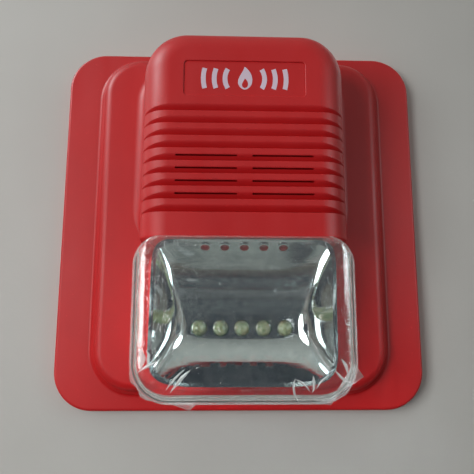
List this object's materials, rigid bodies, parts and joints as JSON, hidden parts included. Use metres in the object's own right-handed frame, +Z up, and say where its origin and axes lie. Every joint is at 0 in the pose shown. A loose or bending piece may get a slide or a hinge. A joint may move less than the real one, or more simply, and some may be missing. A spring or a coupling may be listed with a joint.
{
  "type": "horn strobe",
  "caption": "Wall-mounted fire alarm horn strobe: red moulded housing with sound grooves, clear strobe lens over a reflector and LEDs, on a wall base.",
  "frame": {"origin": "middle of the wall base's back face, on the wall", "axes": "+Z up the wall, +Y into the wall, so the strobe looks along -Y; +X to the right as seen from the front"},
  "size_m": [0.14, 0.0428, 0.1418],
  "materials": {
    "red_abs": "moulded red ABS, satin with a fine texture",
    "base_abs": "moulded red ABS, matt",
    "clear_lens": "clear polycarbonate, polished",
    "clear_film": "thin clear film, creased at its lower corners",
    "chrome_reflector": "vacuum-metallised, mirror bright",
    "led_epoxy": "clear epoxy over yellow-green phosphor",
    "circuit_board": "green solder mask",
    "plated_steel": "zinc plated",
    "black_plastic": "moulded, matt",
    "terminal_green": "moulded polyamide",
    "switch_blue": "moulded",
    "white_plastic": "moulded nylon",
    "brass_disc": "rolled sheet",
    "ceramic": "fired ceramic with a silvered face",
    "foam": "closed-cell foam",
    "copper_winding": "enamelled copper wire on a ferrite drum",
    "capacitor_sleeve": "shrink sleeve on an aluminium can",
    "red_insulation": "PVC insulation",
    "black_insulation": "PVC insulation"
  },
  "bodies": {
    "base": {"mounting_base": "base_abs"},
    "front_unit": {"front_housing": "red_abs", "strobe_lens": "clear_lens", "protective_film": "clear_film", "reflector": "chrome_reflector", "led_1": "led_epoxy", "led_2": "led_epoxy", "led_3": "led_epoxy", "led_4": "led_epoxy", "led_5": "led_epoxy", "led_board": "circuit_board", "led_resistor_1": "black_plastic", "led_resistor_2": "black_plastic", "reflector_screw_1": "plated_steel", "reflector_screw_2": "plated_steel", "main_board": "circuit_board", "board_screw_1": "plated_steel", "board_screw_2": "plated_steel", "board_screw_3": "plated_steel", "board_screw_4": "plated_steel", "terminal_block": "terminal_green", "terminal_screw_1": "plated_steel", "terminal_screw_2": "plated_steel", "terminal_screw_3": "plated_steel", "terminal_screw_4": "plated_steel", "dip_switch": "switch_blue", "volume_trimmer": "switch_blue", "controller_chip": "black_plastic", "drive_transistor": "black_plastic", "polarity_diode": "black_plastic", "bulk_capacitor": "capacitor_sleeve", "filter_capacitor": "capacitor_sleeve", "boost_inductor": "copper_winding", "sounder_coil": "copper_winding", "led_socket": "white_plastic", "sounder_socket": "white_plastic", "sounder_gasket": "foam", "sounder_case": "black_plastic", "sounder_diaphragm": "brass_disc", "sounder_element": "ceramic", "sounder_horn": "black_plastic", "sounder_screw_1": "plated_steel", "sounder_screw_2": "plated_steel", "led_lead_red": "red_insulation", "led_lead_black": "black_insulation", "sounder_lead_red": "red_insulation", "sounder_lead_black": "black_insulation"},
    "slider_1": {"dip_slider_1": "white_plastic"},
    "slider_2": {"dip_slider_2": "white_plastic"},
    "slider_3": {"dip_slider_3": "white_plastic"},
    "rotor": {"trimmer_rotor": "white_plastic"}
  },
  "joints": [
    {"name": "cover_tilt", "type": "hinge", "parent": "base", "child": "front_unit", "pos_m": [0, -0.00215, 0.0666], "axis": [-1, 0, 0], "range_deg": [0, 25]},
    {"name": "dip_slide_1", "type": "slide", "parent": "front_unit", "child": "slider_1", "axis": [0, 0, 1], "range_m": [0, 0.0018]},
    {"name": "dip_slide_2", "type": "slide", "parent": "front_unit", "child": "slider_2", "axis": [0, 0, 1], "range_m": [0, 0.0018]},
    {"name": "dip_slide_3", "type": "slide", "parent": "front_unit", "child": "slider_3", "axis": [0, 0, 1], "range_m": [0, 0.0018]},
    {"name": "trimmer_turn", "type": "hinge", "parent": "front_unit", "child": "rotor", "pos_m": [0.017, -0.0094, 0.024], "axis": [0, 1, 0], "range_deg": [-130, 130]}
  ]
}
